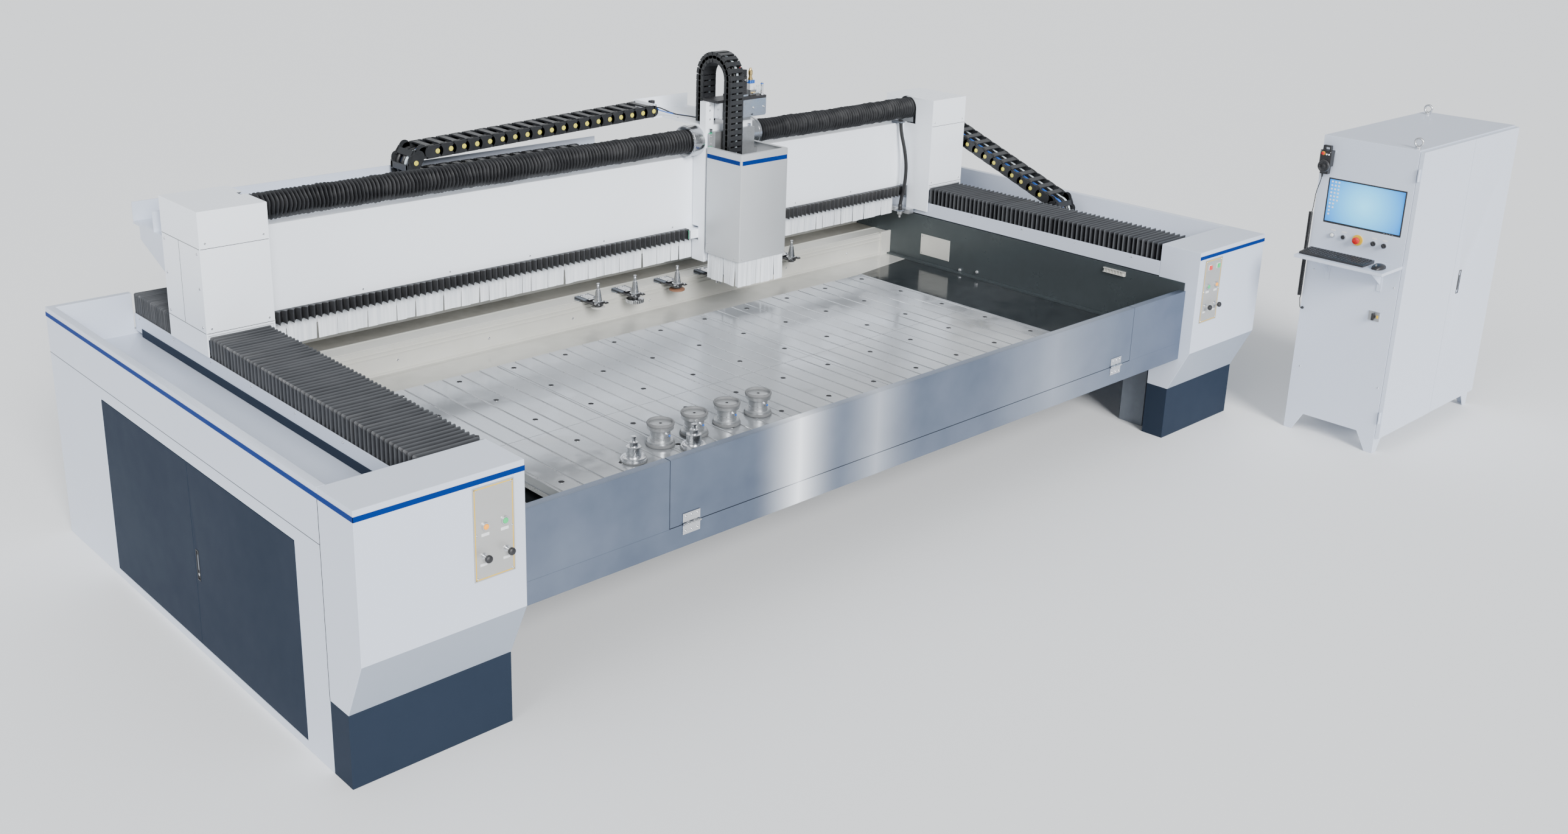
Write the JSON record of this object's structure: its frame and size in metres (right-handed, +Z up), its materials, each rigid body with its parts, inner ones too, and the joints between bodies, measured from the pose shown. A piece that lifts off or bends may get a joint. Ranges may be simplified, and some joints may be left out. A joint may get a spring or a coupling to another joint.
{
  "type": "cnc router",
  "caption": "Bridge-type CNC router for stone and glass: drilled table in a basin, moving gantry with spindle head, bellows, cable chains and separate control cabinet.",
  "frame": {"origin": "centre of the base of the box around the machine and its cabinet, on the floor", "axes": "+X along the bridge from the plain left end towards the cabinet, +Y from the front fascia to the back, +Z up"},
  "size_m": [7.34, 3.73, 2.17],
  "materials": {
    "painted_shell": "satin light grey powder coat",
    "navy_paint": "satin slate navy powder coat",
    "frame_steel": "satin grey paint",
    "machined_steel": "ground, lightly oiled",
    "stainless": "brushed stainless sheet",
    "table_aluminium": "milled aluminium, wet in places",
    "aluminium_profile": "clear anodised",
    "black_bellows": "folded, matt",
    "chain_plastic": "glass filled nylon, dark grey",
    "black_plastic": "fine textured",
    "tool_bodies": "ground steel with black nuts",
    "cup_bodies": "anodised, black seals",
    "curtain_vinyl": "translucent white strips",
    "brush_hair": "nylon bristle",
    "screen_plastic": "glossy screen in a matt bezel",
    "plate_face": "satin with a thin yellow border",
    "red_plastic": "glossy",
    "orange_lens": "frosted lens",
    "green_lens": "frosted lens",
    "pvc_lead": "smooth PVC jacket",
    "fitting_steel": "zinc plated"
  },
  "bodies": {
    "machine_frame": {"base_frame": "frame_steel", "housing_left": "painted_shell", "housing_right": "painted_shell", "front_covers": "painted_shell", "plinths": "navy_paint", "rail_beds": "frame_steel", "guard_strips": "painted_shell", "basin": "stainless", "fascia": "stainless", "table_plates": "table_aluminium", "tool_forks": "machined_steel", "tool_holders": "tool_bodies", "vacuum_cups": "cup_bodies", "control_plates": "plate_face", "front_bellows": "black_bellows", "rear_bellows": "black_bellows", "cabinet_shell": "painted_shell", "monitor": "screen_plastic", "keyboard_shelf": "painted_shell", "keyboard_mouse": "black_plastic", "cabinet_fittings": "fitting_steel", "pendant": "black_plastic", "pendant_lead": "pvc_lead", "pendant_coil": "pvc_lead"},
    "gantry": {"gantry_column_left": "painted_shell", "gantry_column_right": "painted_shell", "cross_beam": "painted_shell", "beam_rails": "machined_steel", "strip_curtain": "curtain_vinyl", "tube_bellows": "black_bellows", "strip_bellows": "black_bellows", "chain_tray": "painted_shell", "tool_setter": "aluminium_profile", "setter_hose": "pvc_lead", "y_chain_run": "chain_plastic"},
    "carriage": {"carriage_plate": "painted_shell", "z_drive": "machined_steel", "x_chain_run": "chain_plastic", "z_chain": "chain_plastic"},
    "z_head": {"z_box": "stainless", "z_slide": "machined_steel", "brush_skirt": "brush_hair"},
    "spindle": {"spindle_rotor": "machined_steel"},
    "x_loop": {"x_chain_loop": "chain_plastic"},
    "y_loop": {"y_chain_loop": "chain_plastic"},
    "flap": {"fascia_flap": "stainless"},
    "left_front_door": {"door_left_front": "navy_paint"},
    "left_rear_door": {"door_left_rear": "navy_paint"},
    "cabinet_front_door": {"cabinet_door_front": "painted_shell"},
    "cabinet_rear_door": {"cabinet_door_rear": "painted_shell"},
    "estop_button_body": {"estop_button": "red_plastic"},
    "cabinet_button_body": {"cabinet_button": "black_plastic"},
    "selector_one_body": {"selector_one": "black_plastic"},
    "selector_two_body": {"selector_two": "black_plastic"},
    "isolator_handle_body": {"isolator_handle": "black_plastic"},
    "handwheel_body": {"handwheel": "black_plastic"},
    "stop_button_left_body": {"stop_button_left": "orange_lens"},
    "start_button_left_body": {"start_button_left": "green_lens"},
    "start_button_right_body": {"start_button_right": "green_lens"},
    "stop_button_right_body": {"stop_button_right": "orange_lens"}
  },
  "joints": [
    {"name": "gantry_slide", "type": "slide", "parent": "machine_frame", "child": "gantry", "axis": [0, 1, 0], "range_m": [-1.55, 0.26], "deforming": ["front_bellows", "rear_bellows"]},
    {"name": "carriage_slide", "type": "slide", "parent": "gantry", "child": "carriage", "axis": [1, 0, 0], "range_m": [-2.4, 1.1], "deforming": ["tube_bellows", "strip_bellows"]},
    {"name": "z_slide", "type": "slide", "parent": "carriage", "child": "z_head", "axis": [0, 0, 1], "range_m": [-0.17, 0.06], "deforming": ["z_chain", "brush_skirt"]},
    {"name": "spindle_spin", "type": "hinge", "parent": "z_head", "child": "spindle", "pos_m": [-0.0415, 0.938, 1.2], "axis": [0, 0, 1], "continuous": true},
    {"name": "x_loop_slide", "type": "slide", "parent": "carriage", "child": "x_loop", "axis": [1, 0, 0], "range_m": [-0.55, 1.2], "deforming": ["x_chain_run"]},
    {"name": "y_loop_slide", "type": "slide", "parent": "gantry", "child": "y_loop", "axis": [0, 1, 0], "range_m": [-0.13, 0.775], "deforming": ["y_chain_run"]},
    {"name": "left_front_door_hinge", "type": "hinge", "parent": "machine_frame", "child": "left_front_door", "pos_m": [-3.67, -0.578, 0.455], "axis": [0, 0, 1], "range_deg": [0, 110]},
    {"name": "left_rear_door_hinge", "type": "hinge", "parent": "machine_frame", "child": "left_rear_door", "pos_m": [-3.67, 1.253, 0.455], "axis": [0, 0, 1], "range_deg": [-110, 0]},
    {"name": "cabinet_front_door_hinge", "type": "hinge", "parent": "machine_frame", "child": "cabinet_front_door", "pos_m": [2.383, -1.853, 0.94], "axis": [0, 0, 1], "range_deg": [-120, 0]},
    {"name": "cabinet_rear_door_hinge", "type": "hinge", "parent": "machine_frame", "child": "cabinet_rear_door", "pos_m": [3.668, -1.865, 0.94], "axis": [0, 0, 1], "range_deg": [0, 120]},
    {"name": "flap_hinge", "type": "hinge", "parent": "machine_frame", "child": "flap", "pos_m": [-0.545, -0.973, 0.615], "axis": [1, 0, 0], "range_deg": [0, 175]},
    {"name": "stop_button_left_press", "type": "slide", "parent": "machine_frame", "child": "stop_button_left_body", "axis": [0, 1, 0], "range_m": [0, 0.004], "stiffness_N_per_m": 300, "springref_m": -0.002},
    {"name": "start_button_left_press", "type": "slide", "parent": "machine_frame", "child": "start_button_left_body", "axis": [0, 1, 0], "range_m": [0, 0.004], "stiffness_N_per_m": 300, "springref_m": -0.002},
    {"name": "start_button_right_press", "type": "slide", "parent": "machine_frame", "child": "start_button_right_body", "axis": [0, 1, 0], "range_m": [0, 0.004], "stiffness_N_per_m": 300, "springref_m": -0.002},
    {"name": "stop_button_right_press", "type": "slide", "parent": "machine_frame", "child": "stop_button_right_body", "axis": [0, 1, 0], "range_m": [0, 0.004], "stiffness_N_per_m": 300, "springref_m": -0.002},
    {"name": "estop_button_press", "type": "slide", "parent": "machine_frame", "child": "estop_button_body", "axis": [1, 0, 0], "range_m": [0, 0.005], "stiffness_N_per_m": 600, "springref_m": -0.002},
    {"name": "cabinet_button_press", "type": "slide", "parent": "machine_frame", "child": "cabinet_button_body", "axis": [1, 0, 0], "range_m": [0, 0.004], "stiffness_N_per_m": 300, "springref_m": -0.002},
    {"name": "selector_one_turn", "type": "hinge", "parent": "machine_frame", "child": "selector_one_body", "pos_m": [2.37, -1.661, 1.226], "axis": [1, 0, 0], "range_deg": [-45, 45]},
    {"name": "selector_two_turn", "type": "hinge", "parent": "machine_frame", "child": "selector_two_body", "pos_m": [2.37, -1.723, 1.226], "axis": [1, 0, 0], "range_deg": [-45, 45]},
    {"name": "isolator_turn", "type": "hinge", "parent": "machine_frame", "child": "isolator_handle_body", "pos_m": [2.37, -1.728, 0.812], "axis": [1, 0, 0], "range_deg": [0, 90]},
    {"name": "handwheel_turn", "type": "hinge", "parent": "machine_frame", "child": "handwheel_body", "pos_m": [2.331, -1.331, 1.622], "axis": [1, 0, 0], "continuous": true}
  ],
  "couplings": [
    {"joint": "x_loop_slide", "follows": "carriage_slide", "ratio": -0.5},
    {"joint": "y_loop_slide", "follows": "gantry_slide", "ratio": -0.5}
  ]
}
